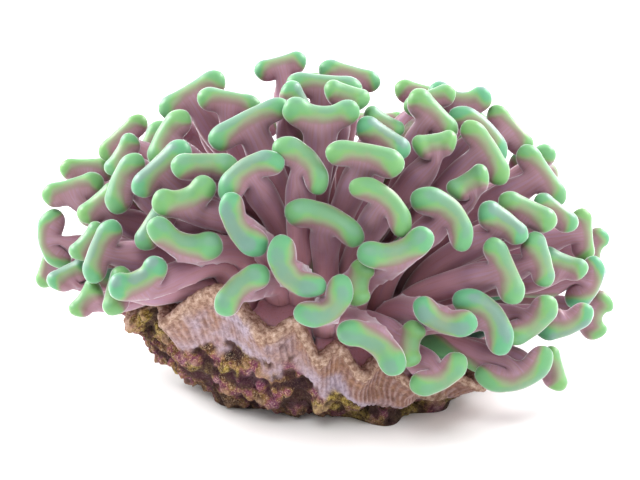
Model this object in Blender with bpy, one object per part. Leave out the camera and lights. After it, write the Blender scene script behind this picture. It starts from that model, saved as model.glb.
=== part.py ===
"""Hammer coral: a stony skeleton with soft polyps whose tentacles end in hammer heads.

The origin is the middle of the flat cut foot. +X runs along the colony, -Y is its front
and +Z is up. Lengths below are in millimetres, and azimuths are in degrees: 0 faces the
front and +90 faces +X. The meshes are written in metres.
"""

import math

import bmesh
import bpy
import numpy
from mathutils import Vector, noise

MM = 0.001

# Crown: the half ellipsoid that the heads' middles lie on
CROWN_X = 76.0
CROWN_Y = 57.0
CROWN_Z = 64.0
CROWN_BASE = 25.5
CROWN_MIDDLE = 1.0

# Skeleton: the oval of its rim, seen from above
RIM_X = 54.0
RIM_FRONT = 42.0
RIM_BACK = 46.0
SKELETON_STEPS = 108
RIB_HEIGHT = 0.35
LUMP_HEIGHT = 4.5
LUMP_PITCH = 14.0

# The rim's mean height at azimuths round the colony
RIM_HEIGHTS = ((-90, 26), (-62, 28), (-36, 38), (-20, 36), (-9, 32), (0, 27), (12, 22), (25, 18),
               (45, 13), (70, 13), (90, 15), (120, 20), (150, 26), (180, 30), (210, 32), (240, 29))
# The pockets where the rim swings out and dips; it rises in a peak between each two
POCKETS = (-90, -70, -48, -15, 0, 12, 27, 52, 76, 100, 124, 148, 172, 196, 220, 244)
POCKET_DEPTH = 3.2
POCKET_REACH = 2.6
WIDE_POCKET = 24.0
NARROW_SHARE = 0.4
# How narrow the peaks are beside the pockets: 2 makes them alike
PEAK_POWER = 3

# The cut foot's part of the rim's oval at azimuths round the colony
FOOT_PARTS = ((-90, 0.50), (-66, 0.56), (-50, 0.68), (-25, 0.54), (0, 0.52), (12, 0.66), (24, 0.84),
              (37, 0.74), (50, 0.82), (66, 0.74), (90, 0.64), (150, 0.64), (210, 0.62))

# Rings of the skeleton from the foot over the rim to the bowl inside:
# part of the rim's oval (the foot's own outline where it is 0), part of the rim's height,
# added height, share of the pockets, share of the ribs, share of the lumps
SKELETON_RINGS = (
    (0.00, 0.00, 0.0, 0.0, 0.0, 0.4),
    (0.80, 0.14, 2.2, 0.1, 0.0, 1.0),
    (0.88, 0.40, 0.5, 0.3, 0.4, 0.8),
    (0.90, 0.62, 0.0, 0.6, 1.0, 0.1),
    (1.00, 0.94, 0.0, 1.0, 0.8, 0.0),
    (0.98, 1.00, 0.0, 1.0, 0.0, 0.0),
    (0.91, 0.97, 0.0, 0.8, 0.0, 0.0),
)
# The bowl inside: parts of the rim's oval at its edge and floor, and its depths
BOWL_PART = 0.875
BOWL_DROP = 8.0
FLOOR_PART = 0.55
BOWL_FLOOR = 12.0

# Flesh: the mound inside the rim that the tentacles stand on, one cushion for each polyp
MOUND_TOP = 38.0
MOUND_PART = 0.83
MOUND_EDGE_DROP = 1.0
MOUND_STEPS = 20
MOUND_RINGS = (1.0, 0.66, 0.33)
CUSHION_GAP = 0.6
BOWL_GAP = 1.8

# One polyp in the middle, and the others round it, each running out to the rim
POLYP_AZIMUTHS = (-160, -125, -95, -65, -40, -15, 10, 35, 60, 90, 125, 162)
POLYP_PART = 0.70

# Where the roots stand on the mound, and how the stalks leave it and meet their heads
LOWEST_HEAD = -12.0
LAST_ROOT = 0.93
ROOT_DEPTH = 3.0
ROOT_LEAN = 0.25
ROOT_ARM = 0.40
TIP_ARM = 0.42
# The tip's own elevation for a head's elevation on the crown
TIP_ELEVATIONS = (-10, 0, 20, 40, 60, 90)
TIP_LIFTS = (-30, -8, 20, 46, 68, 90)
VIEW_LIFT = 20.0
# The most that a tip may face the viewer
MOST_FACING = 0.95

# The stalk bends once, at this part of its length
KNEE_PART = 0.42
ROOT_RADIUS = 2.3
STALK_RADIUS = 3.4
RING_SIDES = 6
# The neck under the head, and the head's rings: height along the tip, part of the
# head's length, half its width
NECK_HEIGHT = -6.0
NECK_RADIUS = 4.1
HEAD_RINGS = ((-1.0, 1.0, 3.8), (2.8, 0.86, 2.9))
HEAD_OUTLINE = ((1, 0), (0.64, 1), (-0.64, 1), (-1, 0), (-0.64, -1), (0.64, -1))

# Balls that stand for a tentacle while the crowd is settled: parts of the stalk with the
# radius there, and places along the head with theirs
STALK_BALLS = tuple((part, numpy.interp(part, (0, 0.5, 0.85, 1), (2.4, 3.5, 4.2, 4.9)))
                    for part in numpy.linspace(0.06, 1, 13))
HEAD_BALLS = (-1.0, -0.6, -0.2, 0.2, 0.6, 1.0)
HEAD_BALL_RADIUS = 4.0
# Balls in the two shoulders under the head: part of its half length, height, radius
SHOULDER_BALLS = ((-0.50, -2.2, 3.8), (0.50, -2.2, 3.8))
CLEARANCE = 0.5

# Each tentacle that the front shows: azimuth and elevation of its head on the crown,
# part of the crown's radius, turn of the head from level, length of the head, and how
# far the head is bent (positive arches it upwards)
FRONT_TENTACLES = (
    # left side
    (-105, 61, 1.05, 31, 21, 1), (-80, 70, 1.00, -10, 18, 1), (-100, 42, 1.04, 44, 17, 1),
    (-72, 51, 1.00, 62, 17, 3), (-56, 46, 1.00, 42, 20, 1), (-70, 40, 1.00, 68, 17, 3),
    (-85, 41, 1.00, 60, 13, 0), (-98, 31, 1.04, 0, 16, 1), (-92, 28, 1.05, 15, 18, 1),
    (-80, 31, 0.97, 40, 14, 1), (-90, 18, 1.06, -80, 16, -5), (-72, 22, 0.97, 50, 12, 0),
    (-92, 8, 1.04, 75, 13, 1), (-74, 14, 0.98, 28, 12, 1), (-60, 20, 1.00, 68, 18, 2),
    (-50, 15, 1.00, 75, 13, 1), (-60, 11, 1.00, 50, 11, 0), (-42, 22, 1.00, 28, 16, -1),
    (-37, 30, 1.00, -18, 20, -2), (-48, 33, 0.95, 55, 15, 1), (-38, 38, 1.00, 20, 17, -1),
    # top
    (-40, 66, 1.00, 28, 24, 1), (-26, 50, 1.00, 33, 19, 4), (-150, 72, 1.06, 15, 15, 1),
    (0, 86, 1.00, -6, 21, 1), (-12, 79, 0.97, -60, 13, 1), (160, 73, 1.01, -14, 18, 1),
    (5, 69, 1.00, -2, 20, -1), (22, 74, 1.00, -20, 12, 1), (38, 72, 0.97, -30, 12, 0),
    (20, 62, 1.00, -35, 16, 1), (14, 55, 1.00, -12, 21, 2), (-6, 56, 1.00, -45, 18, 4),
    (-126, 54, 1.00, 25, 16, 1), (178, 59, 1.02, 5, 18, 1), (134, 59, 1.00, -15, 16, 1),
    # front
    (2, 42, 0.90, -22, 22, 3), (18, 43, 1.00, -43, 20, 4), (-22, 35, 1.00, -58, 18, -3),
    (-18, 22, 1.00, 42, 17, 2), (-8, 22, 1.00, -50, 18, -5), (4, 16, 1.00, 38, 16, -5),
    (11, 9, 1.00, -35, 20, 2), (19, 6, 0.90, 80, 12, 0), (10, 23, 0.84, 80, 12, 0),
    (24, 10, 1.00, -20, 17, -3), (24, -3, 1.00, 30, 16, -3), (38, 12, 1.00, -50, 20, 5),
    (49, 5, 1.00, 40, 17, -3), (61, 1, 1.00, 20, 16, -3), (45, -9, 1.00, 18, 21, -6),
    (58, -6, 1.00, -75, 12, 1), (45, 22, 1.00, -68, 19, 1), (57, 22, 1.00, -72, 15, 1),
    (14, 30, 1.00, 16, 20, -2), (-40, 49, 1.00, 0, 18, 1),
    # right side
    (68, 15, 0.97, -20, 14, 0), (84, 6, 1.00, 60, 15, -4), (84, -2, 1.02, 75, 12, 1),
    (88, 15, 1.01, -85, 15, 1), (100, 8, 1.04, 85, 14, 1), (59, 32, 1.00, -27, 17, 1),
    (78, 29, 1.00, -38, 14, 1), (85, 36, 1.00, -55, 20, 1), (85, 54, 1.00, -45, 20, 4),
    (104, 45, 1.03, -50, 17, 1), (62, 50, 1.00, -58, 20, 2), (68, 65, 1.00, -45, 17, 1),
    (95, 67, 1.00, 20, 15, 1), (102, 60, 1.00, -8, 17, -1), (35, 38, 1.00, -45, 20, 5),
    (49, 32, 0.98, -35, 15, 1), (53, 45, 0.95, 30, 12, 0), (50, 58, 0.97, 10, 12, 0),
)

# Tentacles behind, spread evenly over the crown's far side
BACK_AZIMUTH = 106.0
BACK_LOWEST = 6.0
BACK_HIGHEST = 50.0
BACK_PITCH = 17.5
BACK_SCATTER = 3.0
BACK_REACHES = (0.96, 1.02)
BACK_TURNS = (-75, 75)
BACK_LENGTHS = (15, 19)
BACK_BENDS = (-3, 4)
BACK_SEED = 7
# Every second row starts this much further along
ROW_STARTS = (0.25, 0.75)

# What counts as one flat face when shapes are joined
FLAT = math.radians(1)
# Edges sharper than this look sharp
SHARP = math.radians(40)

# Settling: steps, room round each root, how much the front heads give way, how strongly
# heads are drawn back home and until which step
SPREAD_STEPS = 200
ROOT_ROOM = 2.8
SETTLE_STEPS = 360
FRONT_GIVE = 0.25
HOME_PULL = 0.02
HOME_STEPS = 180
# How far inside their own cushion roots and knees stay, and how far knees stay behind heads
ROOT_MARGIN = 3.3
MIDDLE_MARGIN = 3.7
KNEE_MARGIN = 2.0
KNEE_BEHIND = 9.0
# Where along a stalk it is lifted off the mound, and by how much
MOUND_CHECKS = (0.30, 0.42, 0.55)
MOUND_ROOM = 3.6
# Balls that stand for the rim and wall: part of the oval, part of the height, radius
RIM_BALL_STEP = 5
RIM_BALLS = ((0.96, 1.0, 4.0), (0.95, 0.75, 4.5), (0.90, 0.5, 6.0))


def smooth_loop(stations, azimuth):
    """Value at an azimuth, eased between the two stations on either side of it."""
    for index, (start, low) in enumerate(stations):
        end, high = stations[(index + 1) % len(stations)]
        gap = (end - start) % 360
        along = (azimuth - start) % 360
        if along < gap:
            part = 0.5 - 0.5 * math.cos(math.pi * along / gap)
            return low + (high - low) * part
    return stations[0][1]


def pocket_wave(azimuth):
    """+1 in the middle of a deep pocket and -1 on a high peak; narrow pockets are shallower."""
    for index, start in enumerate(POCKETS):
        gap = (POCKETS[(index + 1) % len(POCKETS)] - start) % 360
        along = (azimuth - start) % 360
        if along < gap:
            share = min(1.0, NARROW_SHARE + (1 - NARROW_SHARE) * gap / WIDE_POCKET)
            return (1 - 2 * math.sin(math.pi * along / gap) ** PEAK_POWER) * share
    return 0.0


def oval(azimuth, half_x=RIM_X, front=RIM_FRONT, back=RIM_BACK):
    """Point of an oval whose front and back halves have their own depths."""
    angle = math.radians(azimuth)
    depth = front if math.cos(angle) > 0 else back
    return Vector((half_x * math.sin(angle), -depth * math.cos(angle), 0))


def crown_point(azimuth, elevation, reach=1.0):
    """Point on the crown that the heads lie on."""
    turn = math.radians(azimuth)
    lift = math.radians(elevation)
    across = reach * math.cos(lift)
    return Vector((CROWN_MIDDLE + CROWN_X * across * math.sin(turn), -CROWN_Y * across * math.cos(turn),
                   CROWN_BASE + CROWN_Z * reach * math.sin(lift)))


def bowl_height(part, azimuth):
    """Height of the skeleton's bowl under the flesh; part is 0 at the middle, 1 at the rim."""
    edge = smooth_loop(RIM_HEIGHTS, azimuth) - BOWL_DROP
    floor = min(BOWL_FLOOR, edge)
    return floor + (edge - floor) * max(0.0, part - FLOOR_PART) / (BOWL_PART - FLOOR_PART)


def mound_height(part, azimuth):
    """Height of the flesh between the tentacles; part is 0 at the middle, 1 at its edge."""
    edge = smooth_loop(RIM_HEIGHTS, azimuth) - MOUND_EDGE_DROP
    return edge + (MOUND_TOP - edge) * (1 - part ** 2)


def mound_point(part, azimuth):
    point = oval(azimuth) * (MOUND_PART * part)
    point.z = mound_height(part, azimuth)
    return point


def mound_place(point):
    """Part of the way to the mound's edge, and azimuth, of the place below a point."""
    depth = RIM_FRONT if point.y < 0 else RIM_BACK
    across = point.x / RIM_X
    forward = -point.y / depth
    return math.hypot(across, forward) / MOUND_PART, math.degrees(math.atan2(across, forward))


def closed_mesh(name, rings, bottom=None, top=None):
    """Mesh of rings of points, each joined to the next, with a middle point or a face at each end."""
    mesh = bmesh.new()
    loops = [[mesh.verts.new(point) for point in ring] for ring in rings]
    sides = len(rings[0])
    for low, high in zip(loops, loops[1:]):
        for index in range(sides):
            after = (index + 1) % sides
            mesh.faces.new((low[index], low[after], high[after], high[index]))
    for loop, middle, flip in ((loops[0], bottom, True), (loops[-1], top, False)):
        ordered = loop[::-1] if flip else loop
        if middle is None:
            mesh.faces.new(ordered)
            continue
        centre = mesh.verts.new(middle)
        for index in range(sides):
            mesh.faces.new((ordered[index], ordered[(index + 1) % sides], centre))
    bmesh.ops.triangulate(mesh, faces=mesh.faces[:])
    data = bpy.data.meshes.new(name)
    mesh.to_mesh(data)
    mesh.free()
    return data


def material(name, colour, roughness):
    made = bpy.data.materials.new(name)
    made.use_nodes = True
    shader = made.node_tree.nodes["Principled BSDF"]
    shader.inputs["Base Color"].default_value = (*colour, 1)
    shader.inputs["Roughness"].default_value = roughness
    shader.inputs["Metallic"].default_value = 0.0
    return made


def place(name, data, look):
    """Object of a mesh in millimetres, shown in metres."""
    data.transform(((MM, 0, 0, 0), (0, MM, 0, 0), (0, 0, MM, 0), (0, 0, 0, 1)))
    data.materials.clear()
    data.materials.append(look)
    data.shade_smooth()
    data.set_sharp_from_angle(angle=SHARP)
    shown = bpy.data.objects.new(name, data)
    bpy.context.scene.collection.objects.link(shown)
    return shown


def skeleton_ring(part, height, rise, pocket, ribs, lumps):
    """One ring of the skeleton; see SKELETON_RINGS."""
    ring = []
    for step in range(SKELETON_STEPS):
        azimuth = 360 * step / SKELETON_STEPS
        wave = pocket * pocket_wave(azimuth)
        flat = oval(azimuth)
        outward = flat.normalized()
        rib = RIB_HEIGHT if step % 2 else -RIB_HEIGHT
        reach = part or smooth_loop(FOOT_PARTS, azimuth)
        point = flat * reach + outward * (wave * POCKET_REACH + rib * ribs)
        point.z = smooth_loop(RIM_HEIGHTS, azimuth) * height + rise - wave * POCKET_DEPTH
        point += outward * (noise.noise(point / LUMP_PITCH) * LUMP_HEIGHT * lumps)
        ring.append(point)
    return ring


def bowl_ring(part, steps, lift=0.0):
    ring = []
    for step in range(steps):
        azimuth = 360 * step / steps
        point = oval(azimuth) * part
        point.z = bowl_height(part, azimuth) + lift
        ring.append(point)
    return ring


def skeleton():
    rings = [skeleton_ring(*ring) for ring in SKELETON_RINGS]
    rings += [bowl_ring(part, SKELETON_STEPS) for part in (BOWL_PART, FLOOR_PART)]
    data = closed_mesh("skeleton", rings, bottom=Vector((0, 0, 0)), top=Vector((0, 0, BOWL_FLOOR)))
    return place("skeleton", data, material("coral stone", (0.55, 0.44, 0.33), 0.85))


def mound_ring(part):
    return [mound_point(part, 360 * step / MOUND_STEPS) for step in range(MOUND_STEPS)]


def mound():
    """The whole flesh mound, from the bowl's floor over its edge to its top."""
    rings = [bowl_ring(FLOOR_PART, MOUND_STEPS, BOWL_GAP),
             bowl_ring(MOUND_PART, MOUND_STEPS, BOWL_GAP)]
    rings += [mound_ring(part) for part in MOUND_RINGS]
    return closed_mesh("mound", rings, bottom=Vector((0, 0, BOWL_FLOOR + BOWL_GAP)),
                       top=Vector((0, 0, MOUND_TOP)))


def root_part(elevation):
    """Roots share out the mound as evenly as the heads share out the crown."""
    lowest = math.sin(math.radians(LOWEST_HEAD))
    share = (1 - math.sin(math.radians(elevation))) / (1 - lowest)
    return LAST_ROOT * math.sqrt(min(1.0, share))


def cushion(number, seeds):
    """The polyp's share of the mound: what lies nearer to its own seed than to any other."""
    data = mound()
    mesh = bmesh.new()
    mesh.from_mesh(data)
    bpy.data.meshes.remove(data)
    own = seeds[number]
    for index, other in enumerate(seeds):
        if index == number:
            continue
        away = Vector((other.x - own.x, other.y - own.y, 0)).normalized()
        middle = (own + other) / 2 - away * CUSHION_GAP / 2
        cut = bmesh.ops.bisect_plane(mesh, geom=mesh.verts[:] + mesh.edges[:] + mesh.faces[:],
                                     plane_co=middle, plane_no=away, clear_outer=True)
        edges = [item for item in cut["geom_cut"] if isinstance(item, bmesh.types.BMEdge)]
        if edges:
            bmesh.ops.holes_fill(mesh, edges=edges, sides=0)
    bmesh.ops.triangulate(mesh, faces=mesh.faces[:])
    bmesh.ops.recalc_face_normals(mesh, faces=mesh.faces[:])
    shape = bpy.data.meshes.new("cushion")
    mesh.to_mesh(shape)
    mesh.free()
    return shape


class Tentacle:
    """A stalk along a curve from its root, and the hammer head across its end."""

    def __init__(self, azimuth, elevation, reach, turn, length, bend, view):
        self.length = length
        self.bend = bend
        self.give = 1.0 if view else FRONT_GIVE
        self.head = crown_point(azimuth, elevation, reach)
        self.target = self.head.copy()
        self.root = mound_point(root_part(elevation), azimuth)
        self.set_axes(azimuth, elevation, math.radians(turn), math.radians(view))
        reach_out = (self.head - self.root).length
        self.tip_arm = self.tip * (TIP_ARM * reach_out)
        outward = Vector((self.root.x, self.root.y, 0)) / RIM_X
        self.rise = (Vector((0, 0, 1)) + outward * ROOT_LEAN) * (ROOT_ARM * reach_out)
        self.knee = self.root + self.rise

    def set_axes(self, azimuth, elevation, turn, view):
        """Set the head's long axis, its upper side and the direction that its tip faces.

        All three are set as seen from `view`, the azimuth that shows this head best.
        """
        side = Vector((math.cos(view), math.sin(view), 0))
        tilt = math.radians(VIEW_LIFT)
        facing = Vector((math.sin(view) * math.cos(tilt), -math.cos(view) * math.cos(tilt),
                         math.sin(tilt)))
        upward = facing.cross(side)
        self.along = side * math.cos(turn) + upward * math.sin(turn)
        self.upper = facing.cross(self.along)
        lift = math.radians(numpy.interp(elevation, TIP_ELEVATIONS, TIP_LIFTS))
        spread = math.radians(azimuth)
        flat = Vector((math.sin(spread) / CROWN_X, -math.cos(spread) / CROWN_Y, 0)).normalized()
        radial = flat * math.cos(lift) + Vector((0, 0, math.sin(lift)))
        shown = max(-MOST_FACING, min(MOST_FACING, radial.dot(facing)))
        sign = 1 if radial.dot(self.upper) >= 0 else -1
        self.tip = facing * shown + self.upper * (sign * math.sqrt(1 - shown ** 2))

    def balls(self):
        half = self.length / 2
        inner = half - HEAD_BALL_RADIUS
        across_head = [self.head + self.along * (part * inner)
                       - self.upper * (self.bend * (part * inner / half) ** 2)
                       for part in HEAD_BALLS]
        middle = self.stalk_point(KNEE_PART)
        neck = self.head + self.tip * NECK_HEIGHT
        stalk = []
        for part, radius in STALK_BALLS:
            low = 2 * part
            stalk.append(self.root.lerp(middle, low) if low < 1 else middle.lerp(neck, low - 1))
        shoulders = [self.head + self.along * (part * half) + self.tip * height
                     - self.upper * (self.bend * part ** 2)
                     for part, height, radius in SHOULDER_BALLS]
        return stalk + across_head + shoulders

    def keep_root(self, seeds):
        """Keep the root well inside the polyp's own cushion, and the knee over it."""
        own = seeds[self.polyp]
        for index, other in enumerate(seeds):
            if index == self.polyp:
                continue
            away = (other - own).xy.normalized()
            border = ((own + other) / 2).xy.dot(away) - CUSHION_GAP / 2
            outside = Vector((*away, 0))
            margin = ROOT_MARGIN if self.polyp else MIDDLE_MARGIN
            self.root -= outside * max(0.0, self.root.xy.dot(away) + margin - border)
            if self.polyp:
                self.knee -= outside * max(0.0, self.knee.xy.dot(away) + KNEE_MARGIN - border)
        self.keep_on_mound()
        self.knee -= self.tip * max(0.0, KNEE_BEHIND - (self.head - self.knee).dot(self.tip))

    def clear_mound(self):
        """Lift the stalk where it would sink back into the mound."""
        for part in MOUND_CHECKS:
            point = self.stalk_point(part)
            over, azimuth = mound_place(point)
            if over < 1:
                self.knee.z += max(0.0, mound_height(over, azimuth) + MOUND_ROOM - point.z)

    def keep_on_mound(self):
        part, azimuth = mound_place(self.root)
        self.root = mound_point(min(part, LAST_ROOT), azimuth)
        self.root.z -= ROOT_DEPTH

    def stalk_point(self, part):
        """Point of the stalk's middle line: 0 is the root and 1 the head's middle."""
        rest = 1 - part
        return (self.root * rest ** 3 + self.knee * (3 * rest ** 2 * part)
                + (self.head - self.tip_arm) * (3 * rest * part ** 2) + self.head * part ** 3)

    def stalk_ring(self, middle, forward, radius):
        along = (self.along - forward * self.along.dot(forward)).normalized()
        across = forward.cross(along)
        angles = [2 * math.pi * side / RING_SIDES for side in range(RING_SIDES)]
        return [middle + along * (radius * math.cos(angle)) + across * (radius * math.sin(angle))
                for angle in angles]

    def head_ring(self, height, half_length, half_width):
        """Long ring across the tip, bent towards or away from the upper side."""
        across = self.tip.cross(self.along)
        ring = []
        for lengthwise, crosswise in HEAD_OUTLINE:
            offset = self.along * (half_length * lengthwise) + across * (half_width * crosswise)
            offset -= self.upper * (self.bend * (offset.dot(self.along) * 2 / self.length) ** 2)
            ring.append(self.head + self.tip * height + offset)
        return ring

    def mesh(self):
        half = self.length / 2
        knee = self.stalk_point(KNEE_PART)
        neck = self.head + self.tip * NECK_HEIGHT
        rings = [self.stalk_ring(self.root, (knee - self.root).normalized(), ROOT_RADIUS),
                 self.stalk_ring(knee, (neck - self.root).normalized(), STALK_RADIUS)]
        rings.append(self.head_ring(NECK_HEIGHT, NECK_RADIUS, NECK_RADIUS))
        rings += [self.head_ring(height, half * share, width) for height, share, width in HEAD_RINGS]
        return closed_mesh("tentacle", rings)


def back_tentacles():
    """Heads at an even pitch over the far side of the crown, row by row, with a little scatter."""
    scatter = numpy.random.default_rng(BACK_SEED)
    found = []
    elevation = BACK_LOWEST
    row = 0
    while elevation < BACK_HIGHEST:
        across = math.cos(math.radians(elevation))
        length = math.pi * (CROWN_X + CROWN_Y) / 2 * across * (360 - 2 * BACK_AZIMUTH) / 180
        count = max(1, round(length / BACK_PITCH))
        for index in range(count):
            part = (index + ROW_STARTS[row % 2]) / count
            azimuth = BACK_AZIMUTH + (360 - 2 * BACK_AZIMUTH) * part
            azimuth += scatter.uniform(-BACK_SCATTER, BACK_SCATTER)
            height = elevation + scatter.uniform(-BACK_SCATTER, BACK_SCATTER)
            reach = scatter.uniform(*BACK_REACHES)
            turn = scatter.uniform(*BACK_TURNS)
            size = scatter.uniform(*BACK_LENGTHS)
            bend = scatter.uniform(*BACK_BENDS)
            found.append(Tentacle(azimuth, height, reach, turn, size, bend, azimuth))
        elevation += math.degrees(BACK_PITCH / CROWN_Z)
        row += 1
    return found


def lip_balls():
    """Balls along the rim and down the wall that the tentacles keep clear of."""
    balls = []
    for azimuth in range(0, 360, RIM_BALL_STEP):
        flat = oval(azimuth)
        wave = pocket_wave(azimuth)
        for part, height, radius in RIM_BALLS:
            point = flat * part + flat.normalized() * (wave * POCKET_REACH)
            point.z = smooth_loop(RIM_HEIGHTS, azimuth) * height - wave * POCKET_DEPTH - radius
            balls.append((*point, radius))
    return numpy.array(balls)


def push_apart(points, radii, owners):
    """How far each ball moves to leave its neighbours in other tentacles, half the way each."""
    squares = (points ** 2).sum(axis=1)
    gaps = numpy.sqrt(numpy.maximum(squares[:, None] + squares - 2 * points @ points.T, 1e-9))
    overlap = radii[:, None] + radii + CLEARANCE - gaps
    overlap[owners[:, None] == owners] = 0
    ball, other = numpy.nonzero(overlap > 0)
    share = (overlap[ball, other] / gaps[ball, other] / 2)[:, None]
    push = numpy.zeros_like(points)
    numpy.add.at(push, ball, (points[ball] - points[other]) * share)
    return push


def spread_roots(tentacles, seeds):
    """Share out the mound among the roots, then give each root to the nearest polyp."""
    radii = numpy.full(len(tentacles), ROOT_ROOM)
    owners = numpy.arange(len(tentacles))
    for _ in range(SPREAD_STEPS):
        points = numpy.array([(tentacle.root.x, tentacle.root.y, 0) for tentacle in tentacles])
        for tentacle, move in zip(tentacles, push_apart(points, radii, owners)):
            tentacle.root += Vector(move)
            tentacle.keep_on_mound()
    for tentacle in tentacles:
        flat = [(tentacle.root - seed).xy.length for seed in seeds]
        tentacle.polyp = flat.index(min(flat))
        tentacle.knee = tentacle.root + tentacle.rise


def settle(tentacles, seeds):
    """Move heads, knees and roots a little at a time until the tentacles have their own room."""
    rim = lip_balls()
    stalk_parts = numpy.array([part for part, radius in STALK_BALLS])
    radii_each = ([radius for part, radius in STALK_BALLS] + [HEAD_BALL_RADIUS] * len(HEAD_BALLS)
                  + [radius for part, height, radius in SHOULDER_BALLS])
    count = len(radii_each)
    total = len(tentacles) * count
    radii = numpy.concatenate([numpy.tile(radii_each, len(tentacles)), rim[:, 3]])
    owners = numpy.concatenate([numpy.repeat(numpy.arange(len(tentacles)), count),
                                numpy.full(len(rim), -1)])
    near_root = (1 - stalk_parts) ** 3
    near_knee = 3 * (1 - stalk_parts) ** 2 * stalk_parts
    near_head = 1 - near_root - near_knee
    for step in range(SETTLE_STEPS):
        points = [point for tentacle in tentacles for point in tentacle.balls()]
        points = numpy.concatenate([numpy.array(points), rim[:, :3]])
        push = push_apart(points, radii, owners)
        push = push[:total].reshape(len(tentacles), count, 3)
        for tentacle, moves in zip(tentacles, push):
            stalk = moves[:len(stalk_parts)]
            head = moves[len(stalk_parts):].sum(axis=0) / 2 + near_head @ stalk / 2
            tentacle.head += Vector(head) * tentacle.give
            if step < HOME_STEPS:
                tentacle.head += (tentacle.target - tentacle.head) * HOME_PULL
            tentacle.knee += Vector(near_knee @ stalk)
            tentacle.root += Vector(near_root @ stalk)
            tentacle.keep_root(seeds)
            tentacle.clear_mound()


def united(name, pieces):
    """One mesh from overlapping closed meshes."""
    scene = bpy.context.scene.collection
    whole = bpy.data.objects.new(name, pieces[0])
    scene.objects.link(whole)
    tools = bpy.data.collections.new("tools")
    for piece in pieces[1:]:
        tools.objects.link(bpy.data.objects.new("piece", piece))
    scene.children.link(tools)
    joint = whole.modifiers.new("join", "BOOLEAN")
    joint.operation = "UNION"
    joint.solver = "EXACT"
    joint.operand_type = "COLLECTION"
    joint.collection = tools
    depsgraph = bpy.context.evaluated_depsgraph_get()
    data = bpy.data.meshes.new_from_object(whole.evaluated_get(depsgraph))
    for used in [whole, *tools.objects]:
        bpy.data.objects.remove(used)
    bpy.data.collections.remove(tools)
    mesh = bmesh.new()
    mesh.from_mesh(data)
    bmesh.ops.dissolve_limit(mesh, angle_limit=FLAT, verts=mesh.verts[:], edges=mesh.edges[:])
    bmesh.ops.triangulate(mesh, faces=mesh.faces[:])
    mesh.to_mesh(data)
    mesh.free()
    return data


def polyps():
    seeds = [mound_point(0, 0)]
    seeds += [mound_point(POLYP_PART, azimuth) for azimuth in POLYP_AZIMUTHS]
    crowd = [Tentacle(*values, 0) for values in FRONT_TENTACLES] + back_tentacles()
    spread_roots(crowd, seeds)
    settle(crowd, seeds)
    look = material("polyp flesh", (0.22, 0.42, 0.28), 0.45)
    for number in range(len(seeds)):
        members = [tentacle.mesh() for tentacle in crowd if tentacle.polyp == number]
        data = united("polyp", [cushion(number, seeds)] + members)
        place(f"polyp_{number + 1:02d}", data, look)


for old in list(bpy.data.objects):
    bpy.data.objects.remove(old)

skeleton()
polyps()
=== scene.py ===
"""Hammer coral: soft polyps with hammer-headed tentacles over a ribbed stony skeleton.

Shapes are worked out in millimetres and placed in metres. Azimuths are in degrees: 0 faces
the front (-Y) and +90 faces +X.
"""

from math import atan, atan2, copysign, cos, degrees, hypot, pi, radians, sin, sqrt

import bmesh
import bpy
import numpy as np
from mathutils import Matrix, Vector, noise


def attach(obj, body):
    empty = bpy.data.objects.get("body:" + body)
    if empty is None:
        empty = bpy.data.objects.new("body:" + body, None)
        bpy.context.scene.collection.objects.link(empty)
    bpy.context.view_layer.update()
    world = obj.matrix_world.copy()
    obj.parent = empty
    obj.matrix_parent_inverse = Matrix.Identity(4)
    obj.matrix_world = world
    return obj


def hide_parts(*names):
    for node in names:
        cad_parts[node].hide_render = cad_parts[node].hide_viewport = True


MM = 0.001

# Crown: the half ellipsoid that the heads' middles lie on
CROWN_X = 76.0
CROWN_Y = 57.0
CROWN_Z = 64.0
CROWN_BASE = 25.5
CROWN_MIDDLE = 1.0

# Skeleton: the oval of its rim, seen from above
RIM_X = 54.0
RIM_FRONT = 42.0
RIM_BACK = 46.0
LUMP_HEIGHT = 4.5
LUMP_PITCH = 14.0

# The rim's mean height at azimuths round the colony
RIM_HEIGHTS = ((-90, 26), (-62, 28), (-36, 38), (-20, 36), (-9, 32), (0, 27), (12, 22), (25, 18),
               (45, 13), (70, 13), (90, 15), (120, 20), (150, 26), (180, 30), (210, 32), (240, 29))
# The pockets where the rim swings out and dips; it rises in a peak between each two
POCKETS = (-90, -70, -48, -15, 0, 12, 27, 52, 76, 100, 124, 148, 172, 196, 220, 244)
POCKET_DEPTH = 3.2
POCKET_REACH = 2.6
WIDE_POCKET = 24.0
NARROW_SHARE = 0.4
# How narrow the peaks are beside the pockets: 2 makes them alike
PEAK_POWER = 1.7

# The cut foot's part of the rim's oval at azimuths round the colony
FOOT_PARTS = ((-90, 0.50), (-66, 0.56), (-50, 0.68), (-25, 0.54), (0, 0.52), (12, 0.66),
              (24, 0.84), (37, 0.74), (50, 0.82), (66, 0.74), (90, 0.64), (150, 0.64), (210, 0.62))

# Rings of the skeleton from the foot over the rim to the bowl inside: part of the rim's oval
# (the lowest takes the foot's own outline), part of the rim's height, added height, share of
# the pockets, share of the lumps
SKELETON_RINGS = (
    (0.80, 0.00, 0.0, 0.0, 0.4),
    (0.80, 0.14, 2.2, 0.1, 1.0),
    (0.88, 0.40, 0.5, 0.3, 0.8),
    (0.90, 0.62, 0.0, 0.6, 0.1),
    (1.00, 0.94, 0.0, 1.0, 0.0),
    (0.98, 1.00, 0.0, 1.0, 0.0),
    (0.91, 0.97, 0.0, 0.8, 0.0),
)
# The bowl inside: parts of the rim's oval at its edge and floor, and its depths
BOWL_PART = 0.875
BOWL_DROP = 8.0
FLOOR_PART = 0.55
BOWL_FLOOR = 12.0

# Flesh: the mound inside the rim that the tentacles stand on, one cushion for each polyp
MOUND_TOP = 38.0
MOUND_PART = 0.83
MOUND_EDGE_DROP = 1.0
MOUND_RINGS = (1.0, 0.66, 0.33)
CUSHION_GAP = 0.6
BOWL_GAP = 1.8

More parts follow.
